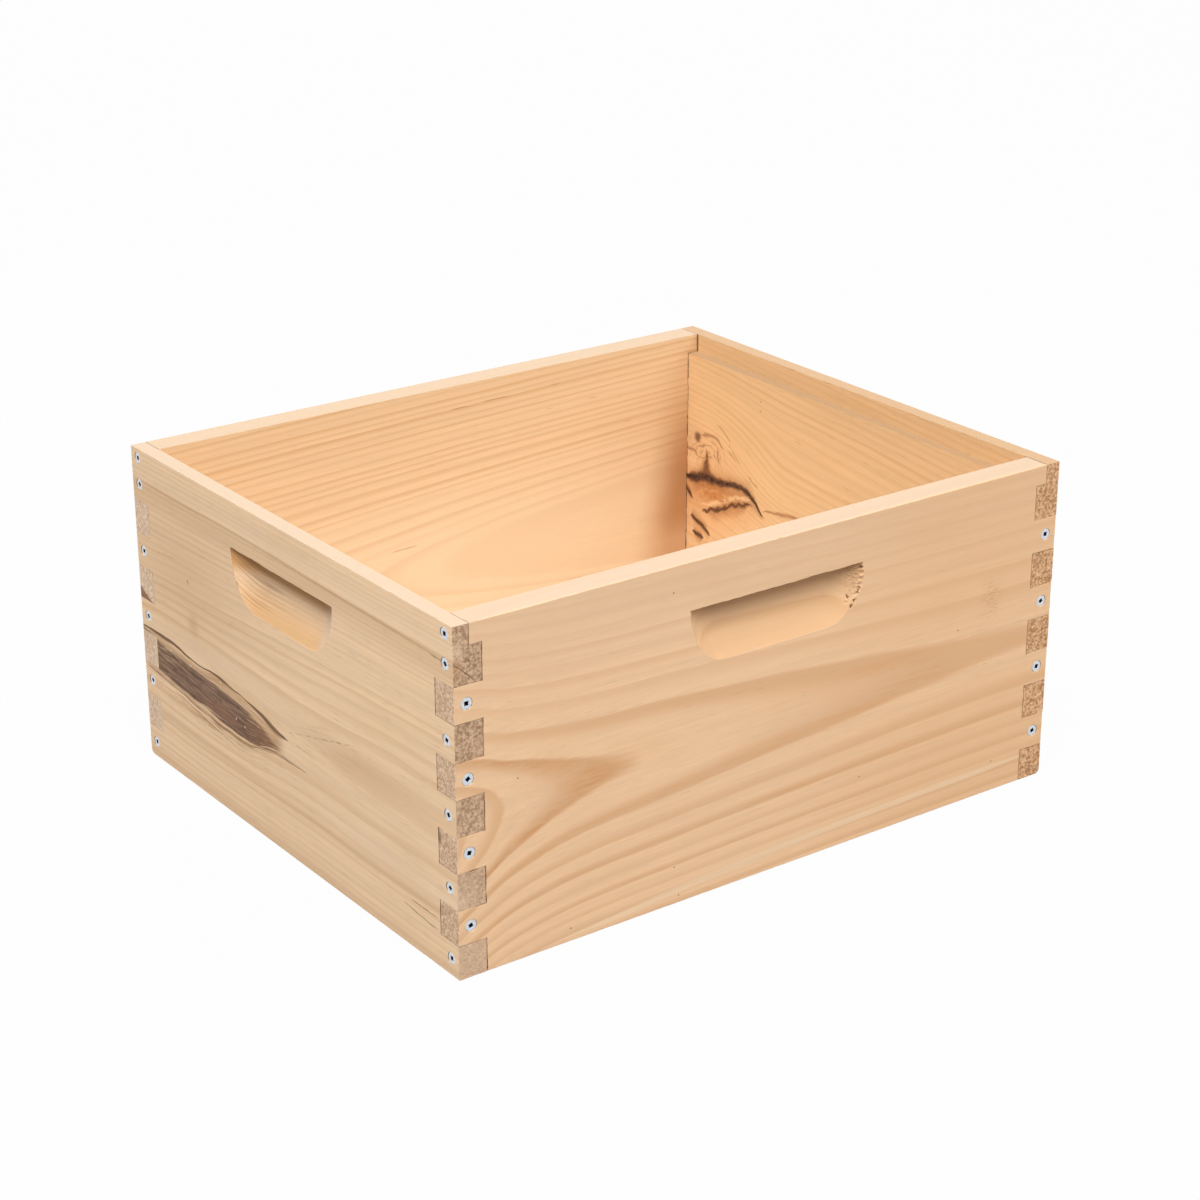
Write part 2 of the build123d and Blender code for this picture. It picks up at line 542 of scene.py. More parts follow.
# %% Right side board: tints and painted shade
right_strengths = [(40, 0.35), (56, 0.4), (66, 0.7), (75, 0.48), (85, 0.36), (94, 0.5), (102, 0.22),
                   (110, 0.4), (118, 0.22), (126, 0.34), (150, 0.25)]
right_stripe = [(60, 239.0), (120, 235.5), (215, 229.0), (365, 224.0), (455, 222.5), (520, 221.5)]
right_half_hold = 84.0


def right_contrast(ring, grain, across, down):
    lower = smooth(down, 60.0, 110.0) * 0.55
    inner = smooth(across, 1.0, 6.0) * 0.6
    return line(ring, right_strengths) * (0.5 + lower + inner)


def right_tints_and_painted_shade(colour, grain, across, down, skin):
    hollow = hand_hold(grain, across, down, half_length, right_half_hold)
    far_half = smooth(grain, 230.0, 420.0) * (1.0 - bell((down - 128.0) / 24.0)) * skin
    stripe = veins(grain, ragged(grain, down, 0.6), [right_stripe], 3.4, 90.0) * skin
    # Painted shade: the first coat greys the board below the rim, and the three coats in the hand hold
    # darken it, most on its lower part and under its upper lip.
    return coats(colour, [
        (smooth(down, 80.0, 5.0) * skin * 0.3, tint(212, 180, 148)),
        (far_half * 0.32, tint(222, 172, 124)),
        (hollow * 0.5, tint(212, 168, 122)),
        (smooth(down, 56.0, 66.0) * hollow * 0.4, tint(196, 152, 110)),
        (smooth(down, 47.0, 34.0) * hollow * 0.45, tint(178, 126, 80)),
        (stripe * 0.55, tint(240, 212, 178)),
    ])


print(f"right board: {len(right_strengths)} ring strengths")

# %% [markdown]
# ### Its marks and tones
# A few specks, a rubbed patch near the far end, pale scratches, and torn wood at one end of the hand hold,
# where the cutter ran against the grain. Each is noise inside a soft oval, or a few spots, because that
# needs no picture file. The pits of the torn wood are painted dark: brown wood with painted shade in them.

# %% Right side board: marks
right_specks = [(331, 194), (458, 218), (46, 113), (170, 214), (86, 232), (174, 236), (167, 18), (418, 106)]
dark_pits = [(324.4, 50.6), (323.4, 53.8), (316.6, 57.5), (320.4, 60.2), (317.8, 63.4), (326.0, 37.0)]
rubbed_oval = ((449.0, 89.0), (8.0, 13.0))
rubbed_line = ((446.0, 137.0), (10.0, 2.5))
scratched_oval = ((414.0, 46.0), (11.0, 6.0))
frayed_oval = ((322.0, 48.0), (7.0, 17.0))
chipped_oval = ((19.5, 148.5), (2.0, 4.0))


def right_marks(colour, height, grain, across, down):
    skin = smooth(across, 3.0, 1.5)
    outer = smooth(across, 15.0, 13.5)
    dots = specks(grain, down, right_specks, 0.7) * skin
    scuff = clouds(vector(grain / 6.0, down, 4.0), 2.0)
    rubbed = smooth(scuff, -0.15, 0.5) * patch(grain, down, *rubbed_oval)
    rubbed = (rubbed + smooth(scuff, 0.1, 0.4) * patch(grain, down, *rubbed_line)) * skin
    slant = clouds(vector(grain / 9.0 - down / 7.0, down / 1.4 + grain / 2.6, 9.0), 1.0)
    scratch = smooth(slant, 0.3, 0.55) * patch(grain, down, *scratched_oval) * skin
    # Dark spots at the pits: brown torn wood and painted shade in the pits.
    pit_brown_and_shade = specks(*warped(grain, down, 1.6, 4.0, 5.0), dark_pits, 1.5) * outer
    frayed = smooth(clouds(vector(grain / 2.6, down / 1.3, 7.0), 3.0, 0.7), -0.1, 0.4)
    frayed = frayed * patch(grain, down, *frayed_oval) * smooth(across, 0.2, 1.0) * outer
    chip = smooth(grain, 1.5, 0.5) * patch(across, down, *chipped_oval)
    colour = coats(right_tints_and_painted_shade(colour, grain, across, down, skin), [
        (scratch * 0.75, tint(250, 228, 198)),
        (rubbed * 0.7, tint(180, 128, 78)),
        (frayed * 0.65, tint(150, 106, 68)),
        (most([dots * 0.85, pit_brown_and_shade * 0.8, chip * 0.7]), tint(98, 60, 32)),
    ])
    return colour, height - dots * 3.0 - rubbed * 0.5 + scratch - frayed * 2.0


right_tones = {
    "early": tint(233, 194, 154),
    "late": tint(202, 146, 98),
    "patch": tint(227, 183, 139),
    # The rim colour is painted shade: darker than the faces, for the top faces.
    "rim": tint(182, 160, 137),
    "end_light": tint(238, 208, 178),
    "end_dark": tint(188, 150, 118),
    "evenness": 1.0,
    "contrast": right_contrast,
    "fibre": 0.13,
    "seed": 0.0,
    "duct_rarity": 0.9,
    "duct_strength": 0.2,
}
right_pine = pine("pine_right_side", right_place, right_growth, right_tones, right_marks)

# %% [markdown]
# ## The left side board
# Its inner face shows in the picture: close lines of uneven width, and low down a long arch that points to
# the near end. The rings are close beyond the ring that makes the arch and wide inside it, so two counts
# are made, and the larger one holds.

# %% Left side board: rings
left_pith_down = 145.0
left_pith_across = -60.0
left_pith_lean = 0.0664
left_lean_middle = 253.6
left_arch_ring = 60.0
left_wide_ring = 14.0
left_close_ring = 5.0


def left_place(x, y, z):
    return x + half_length, y - (half_width - board_thickness), box_height - z, 0


def left_growth(grain, across, down):
    pith_across = left_pith_across + left_pith_lean * (grain - left_lean_middle)
    ring = ring_distance(grain, across, down, pith_across, left_pith_down, 1.0)
    years = ring + clouds(vector(ring / 11.0, 3.0, 0.0), 1.0) * 4.0 - left_arch_ring
    phase = (years / left_wide_ring).math("MAXIMUM", years / left_close_ring)
    return ring, down - left_pith_down, phase


print(f"left board: rings {left_close_ring} mm wide, {left_wide_ring} mm inside the arch")

# %% [markdown]
# ### Its marks and tones
# A few resin dashes lie along the lines, and one finger end has a dark wedge of torn wood. The wood is
# painted paler towards the bottom as painted light, and the far corner beside the knot is painted brown as
# shade. The same helpers draw them as on the right board.

# %% Left side board: marks
left_dashes = [
    [(255, 18.6), (265, 18.2), (277, 18.5)],
    [(285, 17.6), (298, 17.3), (314, 17.5)],
    [(349, 16.2), (355, 16.0), (362, 16.1)],
    [(344, 35.1), (349, 34.9), (355, 35.0)],
    [(384, 34.2), (391, 33.9), (400, 34.1)],
    [(419, 60.2), (425, 59.9), (432, 60.1)],
    [(199, 122.2), (212, 121.7), (227, 121.2)],
]
wedge_down = 117.0
far_corner = 2.0 * half_length - board_thickness


def left_marks(colour, height, grain, across, down):
    skin = smooth(across, 3.0, 1.5)
    resin = veins(grain, ragged(grain, down, 0.5), left_dashes, 0.6, 9.0) * skin
    slope = wedge_down - across * 0.5
    wedge = smooth(ragged(across, down, 1.2), slope - 0.6, slope + 0.8)
    wedge = wedge * smooth(down, wedge_down + 0.5, wedge_down - 1.0) * smooth(grain, 2.0, 1.0)
    # Painted shade in the far corner, beside the rear board.
    corner = smooth(grain + down * 0.2, far_corner - 25.3, far_corner + 20.7) * skin
    corner = corner * smooth(grain, far_corner + 1.7, far_corner + 0.2)
    corner = corner * smooth(down, 10.0, 110.0) * (1.0 - smooth(down, 148.0, 178.0) * 0.3)
    # The first coat is painted light, paler low on the board; the last is the painted shade in the far
    # corner.
    colour = coats(colour, [
        (smooth(down, 50.0, 130.0) * skin * 0.4, tint(238, 212, 176)),
        (resin * 0.5, tint(172, 116, 70)),
        (wedge * 0.85, tint(142, 92, 66)),
        (corner * 0.82, tint(172, 112, 60)),
    ])
    return colour, height - resin


left_tones = {
    "early": tint(227, 192, 150),
    "late": tint(204, 157, 107),
    "patch": tint(221, 183, 137),
    # The rim colour is painted shade: darker than the faces, for the top faces.
    "rim": tint(181, 158, 133),
    "end_light": tint(246, 220, 192),
    "end_dark": tint(206, 172, 142),
    "evenness": 0.35,
    "contrast": lambda *place: 0.6,
    "fibre": 0.1,
    "seed": 1000.0,
    "duct_rarity": 0.9,
    "duct_strength": 0.2,
}
left_pine = pine("pine_left_side", left_place, left_growth, left_tones, left_marks)

# %% [markdown]
# ## The front end board
# A slow-grown board: fine, faint rings that bend round a pocket of bark low on the left and meet again
# beyond it. The depth below the rim is bent before the rings are measured, so all of them swerve together.

# %% Front end board: rings
front_pith_across = -170.0
front_pith_down = 146.0
front_ring = 2.3


def front_place(x, y, z):
    return half_width - y, x + half_length, box_height - z, 1


def front_bend(grain, down):
    """The depth below the rim, bent as the rings bend round the pocket."""
    level = (down - 157.0) / 34.0
    bulge = bell((grain - 60.0) / 105.0) * level * bell(level) * 22.0
    return down - bulge + (grain - 200.0) * bell((down - 90.0) / 55.0) * 0.05


def front_growth(grain, across, down):
    bent = front_bend(grain, down)
    ring = ring_distance(grain, across, bent, front_pith_across, front_pith_down, 1.2)
    return ring, bent - front_pith_down, ring / front_ring


def front_contrast(ring, grain, across, down):
    """Faint rings, but stronger ones in the left half of the hand hold."""
    return bell((across - 8.0) / 6.0) * smooth(grain, 240.0, 150.0) * 0.5 + 0.3


print(f"front board: rings {front_ring} mm wide round a pocket")

# %% [markdown]
# ### The pocket of bark
# Where a tree grows round a wound, a lens of bark stays in the wood. Its streaks follow the lens, so they
# are drawn on a depth that is 0 at the lens's roof and 1 at its floor. Bark and pale wood reach into each
# other in tongues, and a dark outline swells and thins along the roof.

# %% Bark: where it lies
pocket_roof = [(-6, 138.5), (43, 138.0), (83, 141.3), (110, 140.4), (133, 141.9), (150, 144.0), (173, 147.0),
               (188, 150.9), (209, 153.6)]
pocket_floor = [(-6, 168.0), (33, 171.0), (57, 172.7), (100, 176.8), (133, 178.3), (167, 175.0),
                (187, 170.3), (207, 168.3), (242, 169.0)]
bark_top = [(-6, 139.0), (20, 142.0), (40, 145.0), (60, 146.5), (80, 148.0), (110, 149.5), (140, 151.0),
            (160, 154.0), (180, 158.0), (200, 163.0)]
bark_bottom = [(-6, 164.5), (20, 166.5), (60, 169.5), (90, 172.3), (120, 174.3), (150, 174.5), (170, 172.0),
               (190, 168.0)]
bark_tongues = [
    [(140, 153.5), (160, 155.5), (182, 159.0)],
    [(146, 158.5), (168, 160.5), (192, 162.5)],
    [(150, 165.5), (174, 166.0), (202, 165.5)],
]
pale_end = ((34.0, 146.0), (20.0, 6.0))
roof_swells = [
    (((34.0, 139.0), (26.0, 9.0)), 1.6),
    (((118.0, 141.0), (15.0, 9.0)), 1.0),
    (((184.0, 150.0), (22.0, 9.0)), 2.6),
]


def bark_mask(grain, down, torn, streak, thread):
    """Between the bark's top and bottom lines, torn at its tip and streaked pale at its upper end."""
    flow = torn + streak * 7.0 + thread * 1.5
    below_top = smooth(flow - line(grain, bark_top), -1.0, 1.2)
    above_bottom = smooth(line(grain, bark_bottom) - flow, -1.0, 1.2)
    tip = smooth(grain + streak * 80.0 + thread * 70.0, 196.0, 176.0)
    streaks = smooth(thread + streak * 0.6, -0.1, 0.15) * patch(grain, down, *pale_end)
    return below_top * above_bottom * tip * (1.0 - streaks)


def bark_outline(grain, down, torn):
    """The dark line along the roof, thick in three stretches."""
    swell = sum(patch(grain, down, *oval) * extra for oval, extra in roof_swells)
    return veins(grain, torn, [pocket_roof], swell + 0.75, 6.0)


print(f"pocket from {pocket_roof[0][0]} to {pocket_roof[-1][0]} mm along the front board")

# %% Bark: its colours
white_flecks = [(42.0, 145.0), (116.0, 143.5), (136.0, 163.3), (149.0, 165.0), (72.0, 146.5)]
reddish_oval = ((118.0, 166.0), (26.0, 5.0))


def bark_colours(grain, down, depth, streak, thread):
    """The pale wood in the pocket and the dark bark itself."""
    pale = mix(smooth(streak + thread * 0.5, -0.4, 0.4), tint(182, 140, 102), tint(228, 194, 154))
    dark = mix(smooth(streak * 0.6 + thread, -0.4, 0.4), tint(78, 55, 44), tint(150, 116, 92))
    mottle = clouds(vector(grain / 9.0, depth * 8.0, 12.0), 4.0, 0.7)
    return pale, coats(dark, [
        (smooth(mottle, -0.05, 0.4) * 0.7, tint(138, 108, 88)),
        (smooth(mottle, -0.1, -0.45) * 0.7, tint(70, 47, 38)),
        (smooth(thread, 0.2, 0.5) * 0.7, tint(196, 162, 132)),
        (smooth(grain, 140.0, 190.0) * 0.6, tint(146, 100, 68)),
        (patch(grain, down, *reddish_oval) * 0.6, tint(128, 82, 64)),
    ])


def bark_pocket(colour, grain, down, skin):
    """The board's colour with the pocket in it, and how deep the pocket's bark is dented."""
    place, torn = warped(grain, down, 22.0, 2.6, 3.0)
    roof = line(grain, pocket_roof)
    floor = line(grain, pocket_floor)
    depth = (torn - roof) / (floor - roof)
    streak = clouds(vector(grain / 70.0, depth * 11.0, 3.0), 3.0, 0.6)
    thread = clouds(vector(grain / 22.0, depth * 30.0, 8.0), 3.0, 0.65)
    inside = band(depth, 0.0, 0.05, 0.95, 1.0) * smooth(grain, 207.0, 192.0) * skin
    tongues = veins(grain, torn + streak * 3.0, bark_tongues, 2.2, 24.0) * skin
    bark = bark_mask(grain, down, torn, streak, thread) * inside
    bark = most([bark, tongues * smooth(thread, -0.4, 0.1)])
    pale, dark = bark_colours(grain, down, depth, streak, thread)
    below = torn - floor
    beneath = clouds(vector(grain / 34.0, below / 1.7, 5.0), 3.0, 0.6)
    stain = band(below, -0.5, 1.5, 5.0, 16.0) * bell((grain - 85.0) / 70.0) * skin
    under = veins(grain, torn + thread * 2.0, [pocket_floor], 1.6, 30.0) * smooth(streak, -0.3, 0.1) * skin
    outline = bark_outline(grain, down, torn + streak * 1.5) * skin
    colour = coats(colour, [
        (inside * 0.85, pale),
        (bark * 0.96, dark),
        (stain * smooth(beneath, -0.15, 0.3) * 0.75, tint(156, 108, 70)),
        (under * 0.8, tint(128, 84, 54)),
        (outline * 0.92, mix(smooth(thread, -0.3, 0.4), tint(84, 55, 38), tint(138, 97, 66))),
        (specks(place, torn, white_flecks, 1.1) * skin * 0.8, tint(234, 216, 194)),
    ])
    return colour, bark * 0.6 + outline


print(f"bark with {len(white_flecks)} white flecks")

# %% [markdown]
# ### Bands and hand hold on the front
# A brown band runs below the rim, with paler and duller ones further down. The hand hold is painted darker
# as shade, warm over its lower part and darkest under its upper lip. Inside it the cut rings show as
# stronger lines, and its right end is crushed pale. Bells and soft steps are enough for the bands, because
# their edges are blurred.

# %% Front end board: bands and hand hold
front_stripe = [(0, 23.0), (60, 23.4), (140, 22.0), (250, 23.4), (330, 24.4), (416, 25.2)]
front_half_hold = 76.0
pale_oval = ((120.0, 128.0), (70.0, 9.0))
dull_oval = ((300.0, 136.0), (70.0, 12.0))
grey_oval = ((70.0, 78.0), (85.0, 48.0))


def front_bands(colour, grain, down, torn, skin):
    pale = bell((torn - 16.0) / 5.0) + patch(grain, down, *pale_oval)
    brown = band(torn, 20.5, 23.5, 30.0, 44.0)
    dull = patch(grain, torn, *dull_oval) + bell((torn - 238.0) / 5.0) + bell((torn - 201.0) / 3.5)
    dull = dull + patch(grain, down, *grey_oval) * 1.2
    light = bell((torn - 188.0) / 7.0) * smooth(grain, 230.0, 300.0)
    stripe = veins(grain, torn, [front_stripe], 1.4, 40.0)
    return coats(colour, [
        (pale * skin * 0.35, tint(232, 206, 174)),
        (brown * skin * 0.3, tint(190, 147, 107)),
        (dull * skin * 0.3, tint(196, 154, 114)),
        (light * skin * 0.35, tint(240, 216, 186)),
        (stripe * skin * 0.4, tint(178, 132, 92)),
    ])


def front_hand_hold(colour, grain, across, down):
    """Painted shade in the hollow, darkest under the upper lip, cut rings at one end and crushed fibres at
    the other.
    """
    hollow = hand_hold(grain, across, down, half_width, front_half_hold)
    fan = clouds(vector(grain / 70.0, (down - across * 1.8) / 1.5, 2.0), 2.0, 0.6)
    lines = smooth(fan, 0.0, 0.35) * smooth(grain, 240.0, 150.0) * hollow
    crushed = smooth(grain, 246.0, 262.0) * smooth(down, 34.0, 44.0) * hollow
    # The first three coats are painted shade in the hollow: warm on its lower part and darkest under the
    # upper lip.
    return coats(colour, [
        (smooth(down, 50.0, 72.0) * hollow * 0.7, tint(200, 152, 98)),
        (smooth(down, 52.0, 44.0) * hollow, tint(208, 158, 106)),
        (smooth(down, 44.0, 33.0) * hollow * 0.8, tint(150, 100, 58)),
        (lines * 0.6, tint(146, 100, 64)),
        (crushed * 0.6, tint(226, 202, 180)),
    ])


print(f"front hand hold {2 * front_half_hold:.0f} mm long")

# %% [markdown]
# ### Threads, cracks and tones of the front
# Brown threads fan out from the pocket's tip, and short cracks sit at the right. The board's finger ends,
# which show in the right side of the box, are paler towards the floor. The fan is noise on rays from the
# tip, so its threads spread as they run out.

# %% Front end board: threads and cracks
front_threads = [
    [(200, 153.0), (225, 152.4), (252, 152.0)],
    [(203, 148.0), (250, 136.0), (302, 122.5)],
    [(187, 170.0), (215, 168.6), (242, 168.0)],
    [(30, 177.5), (45, 179.5), (62, 180.5)],
    [(67, 180.0), (105, 183.0), (145, 187.0)],
    [(22, 73.0), (40, 70.5), (62, 69.0)],
]
front_cracks = [
    [(358, 206.8), (376, 207.3), (394, 207.0)],
    [(348, 212.5), (370, 214.5), (394, 216.0)],
    [(388, 25.4), (402, 26.2), (416, 26.0)],
]
corner_crack = [(-1, 24.0), (6, 29.5), (15, 38.0)]
front_flecks = [(75.0, 80.0), (75.6, 81.5)]
thread_fan = ((245.0, 146.0), (55.0, 20.0))
smudge_oval = ((80.0, 112.0), (7.0, 8.0))


def brown_threads(grain, down, torn):
    """A few drawn threads, and fine ones that fan out from the pocket's tip."""
    broken = smooth(clouds(vector(grain / 7.0, down / 2.0, 2.0), 1.0), -0.35, 0.3)
    ray = (down - 153.0) / (grain - 140.0).math("MAXIMUM", 25.0)
    fine = clouds(vector(grain / 55.0, ray * 85.0, 6.0), 2.0, 0.6)
    tip = patch(grain, down, *thread_fan) * smooth(grain, 165.0, 200.0)
    drawn = veins(grain, torn, front_threads, 0.7, 20.0) * broken
    return most([drawn, smooth(fine, 0.1, 0.5) * tip * 0.8])


def front_marks(colour, height, grain, across, down):
    skin = smooth(across, 9.0, 5.0)
    torn = ragged(grain, down, 0.6)
    colour = front_bands(colour, grain, down, torn, skin)
    colour, dents = bark_pocket(colour, grain, down, skin)
    colour = front_hand_hold(colour, grain, across, down)
    threads = brown_threads(grain, down, torn) * skin
    near_end = smooth(grain, 2.0 * half_width - 1.5, 2.0 * half_width - 0.5)
    cracks = veins(grain, torn, front_cracks, 0.42, 8.0) * skin
    cracks = most([cracks, veins(across, torn, [corner_crack], 0.5, 3.0) * near_end])
    smudge = patch(grain, ragged(grain, down, 5.0), *smudge_oval) * skin
    flecks = specks(grain, torn, front_flecks, 1.1) * skin
    colour = coats(colour, [
        (smooth(down, 90.0, 235.0) * near_end * 0.55, tint(222, 190, 160)),
        (threads * 0.5, tint(148, 104, 66)),
        (smudge * 0.3, tint(180, 128, 88)),
        (most([cracks, flecks * 0.8]) * 0.75, tint(92, 60, 40)),
    ])
    return colour, height - dents * 1.5 - cracks * 3.0 - threads * 0.5


front_tones = {
    "early": tint(242, 208, 170),
    "late": tint(203, 152, 101),
    "patch": tint(230, 192, 152),
    # The rim colour is painted shade: darker than the faces, for the top faces.
    "rim": tint(179, 158, 136),
    "end_light": tint(214, 180, 148),
    "end_dark": tint(150, 116, 88),
    "evenness": 0.0,
    "contrast": front_contrast,
    "fibre": 0.17,
    "seed": 2000.0,
    "duct_rarity": 0.68,
    "duct_strength": 0.26,
}
front_pine = pine("pine_front_end", front_place, front_growth, front_tones, front_marks)

# %% [markdown]
# ## The rear end board
# Its inner face shows in the far corner of the box. The rings sweep down round a knot beside the left
# board, and again the depth is bent before they are measured.

# %% Rear end board: rings
rear_pith_across = -62.0
rear_ring = 4.6


def rear_place(x, y, z):
    return half_width - y, x - (half_length - board_thickness), box_height - z, 1


def rear_growth(grain, across, down):
    sweep = smooth(grain, 40.0, 150.0) * 34.0
    bent = down - sweep * bell((down - 105.0) / 55.0)
    pith_down = 205.0 + grain * 0.06
    ring = ring_distance(grain, across, bent, rear_pith_across, pith_down, 1.6)
    return ring, bent - pith_down, ring / rear_ring


print(f"rear board: rings {rear_ring} mm wide that sweep round a knot")

# %% [markdown]
# ### The knot
# A dead branch left black bark in the wood, with curled grain above it and orange, resin-soaked wood below.
# Its lines are drawn on a warped place, so that none runs true, and the bark's edge follows a finer noise.

# %% Knot: bark
knot_branch = [(16, 119.5), (33, 117.0), (46, 113.3), (61, 113.2), (81, 110.4), (96, 110.6), (104, 113.3),
               (111, 119.0), (116, 124.0), (122, 127.5)]
jagged_line = [(39, 144.0), (56, 139.5), (71, 133.0), (81, 128.0), (96, 123.8), (108, 121.0)]
bark_bits = [
    [(18, 129.0), (24, 131.5), (30, 137.0)],
    [(26, 151.0), (40, 156.0), (53, 163.0)],
    [(29, 164.5), (36, 165.8), (44, 167.5)],
]


def strokes(place, level, routes, width, fade=5.0):
    """Soft strokes along several lines, darkest in their middle."""
    return veins(place, level, routes, width, fade, core=0.0)


def knot_bark(place, level, crumbs):
    """How dark the bark is: the branch, a spike above it, a jagged line and loose bits below."""
    thickness = bell((place - 42.0) / 28.0) * 4.0 + 4.4 + crumbs * 3.6
    branch = strokes(place, level, [knot_branch], thickness, 12.0)
    spread = smooth(level, 93.0, 117.0)
    thorn = spread * spread * 21.0 + 2.2 + crumbs * 2.4
    spike = smooth(abs(place - 46.3), thorn, thorn * 0.15) * band(level, 84.0, 98.0, 114.0, 119.0)
    tooth = clouds(vector(place / 11.0, level / 16.0, 9.0), 2.0, 0.6) * 6.0
    jagged = strokes(place, level + tooth, [jagged_line], 3.6 + crumbs * 3.4, 14.0)
    bits = strokes(place, level, bark_bits, 4.4 + crumbs * 1.4, 4.0)
    return most([branch, spike * 0.62, jagged * 0.8, bits * 0.85])


def knot_halo(place, level):
    """Browner wood beside the bark and round the foot of the spike."""
    foot = smooth(abs(place - 46.0), (level - 88.0).math("MAXIMUM", 1.0) * 0.6, 0.0)
    foot = foot * band(level, 90.0, 98.0, 110.0, 116.0)
    below_branch = strokes(place, level - 2.0, [knot_branch], 16.0, 22.0)
    beside_line = strokes(place, level, [jagged_line], 13.0, 22.0)
    return most([below_branch, foot, beside_line, strokes(place, level, bark_bits, 10.0)])


print(f"knot with {len(bark_bits)} loose bits of bark")

# %% Knot: grain
knot_tail = [(116, 124.0), (124, 120.5), (132, 118.8), (146, 117.0), (172, 114.5)]
knot_arches = [
    [(38, 80.5), (47, 77.0), (56, 76.0), (64, 80.0), (69, 88.0)],
    [(41, 89.0), (44, 86.8), (48, 84.5)],
    [(19, 96.0), (27, 94.0), (34, 97.0), (37, 103.0)],
]
knot_streaks = [
    [(72, 82.0), (79, 86.0), (86, 90.5)],
    [(76, 80.5), (83, 85.0), (91, 91.0)],
    [(98, 97.0), (106, 101.5), (114, 105.0)],
    [(58, 64.0), (68, 69.0), (78, 76.0)],
]
knot_upright = [(83, 60.4), (90, 61.2), (99, 62.8)]
curled_oval = ((47.0, 91.0), (19.0, 13.0))


def curled_grain(place, level):
    """Loops of brown grain round the foot of the spike and round the eye beside it."""
    curl = clouds(vector(place / 12.0, level / 9.0, 4.0), 2.0)
    sideways = place - 46.0
    upright = (level - 112.0) / 1.5
    reach = (sideways * sideways + upright * upright) ** 0.5 + curl * 7.0
    loops = smooth(abs((reach / 5.2).math("FRACT") - 0.5), 0.3, 0.05)
    return loops * smooth(curl, -0.35, 0.15) * patch(place, level, *curled_oval)


def knot_grain(place, level, crumbs):
    """All brown lines round the knot: curls, arches above it and streaks beside it."""
    arches = strokes(place, level, knot_arches, 2.6 + crumbs * 1.4)
    streaks = strokes(place, level, knot_streaks, 1.8 + crumbs * 0.8) * 0.7
    upright = veins(level, place, [knot_upright], 1.2, 4.0)
    return most([curled_grain(place, level), arches, streaks, upright])


print(f"knot with {len(knot_arches)} arches and {len(knot_streaks)} streaks")

# %% Knot: colours
core_oval = ((34.6, 82.0), (4.6, 4.6))
glow_oval = ((58.0, 125.0), (36.0, 13.0))
warm_oval = ((40.0, 128.0), (52.0, 40.0))
cream_oval = ((28.0, 104.0), (9.0, 7.0))


def knot_black(grain, down, crumbs):
    """Black bark with brown crumbs and pale flecks."""
    black = mix(smooth(crumbs, -0.3, 0.4), tint(40, 27, 23), tint(100, 70, 52))
    flecks = smooth(clouds(vector(grain / 1.6, down / 1.6, 2.0), 1.0), 0.3, 0.55)
    return mix(flecks * 0.6, black, tint(168, 132, 104))


def knot(colour, grain, down, skin):
    """The board's colour with the knot in it, and how dark its bark is."""
    place, level = warped(grain, down, 9.0, 4.5, 6.0)
    crumbs = clouds(vector(grain / 4.0, down / 2.4, 1.0), 3.0, 0.6)
    burl = clouds(vector(place / 8.0, level / 5.0, 4.0), 3.0, 0.6)
    bark = knot_bark(place, level, crumbs) * skin
    glow = patch(grain, down, *glow_oval) * skin
    flecks = strokes(place, level + 6.0 + burl * 3.0, [jagged_line], 4.2, 14.0) * smooth(burl, -0.25, 0.1)
    core = smooth(crumbs * 0.3 + patch(place, level, *core_oval), 0.1, 0.9)
    tail = strokes(place, level, [knot_tail], smooth(grain, 116.0, 165.0) * 2.2 + 1.6, 10.0)
    colour = coats(colour, [
        (patch(grain, down, *warm_oval) * skin * 0.35, tint(212, 142, 76)),
        (patch(grain, down, *cream_oval) * skin * 0.4, tint(246, 214, 170)),
        (glow * 0.7, tint(184, 112, 48)),
        (smooth(burl, 0.0, 0.35) * glow * 0.6, tint(236, 188, 128)),
        (smooth(burl, -0.1, -0.4) * glow * 0.6, tint(150, 92, 46)),
        (knot_halo(place, level) * skin * 0.52, tint(150, 90, 46)),
        (flecks * skin * 0.6, tint(240, 204, 156)),
        (knot_grain(place, level, crumbs) * skin * 0.65, tint(140, 86, 50)),
        (core * skin * 0.85, tint(112, 68, 44)),
        (tail * skin * 0.7, tint(154, 90, 46)),
        (smooth(bark, 0.05, 0.7) * 0.85, tint(112, 72, 46)),
        (smooth(bark, 0.5, 1.0) * 0.95, knot_black(grain, down, crumbs)),
    ])
    return colour, bark


print("knot ready")

# %% [markdown]
# ### Its other marks and tones
# Three specks, and a dark seam in the inner corner where the joint is not quite closed. The gap is too fine
# to model, so its dirt and shade are painted as a dark line, which noise breaks into dashes.

# %% Rear end board: marks
rear_specks = [(113, 39.5), (113, 31.5), (75.6, 79)]


def rear_marks(colour, height, grain, across, down):
    skin = smooth(across, 6.0, 3.0)
    colour, dark = knot(colour, grain, down, skin)
    dots = specks(grain, down, rear_specks, 0.9) * skin
    gaps = smooth(clouds(vector(down / 14.0, 2.0, 0.0), 2.0), -0.2, 0.1)
    # The seam is a painted dark line: dirt and shade in a gap too fine to model.
    seam = smooth(abs(grain - board_thickness), 1.3, 0.6) * gaps * skin
    colour = coats(colour, [(dots * 0.7, tint(110, 72, 46)), (seam * 0.75, joint_dirt_and_shade)])
    return colour, height - dark * 4.0 - dots - seam


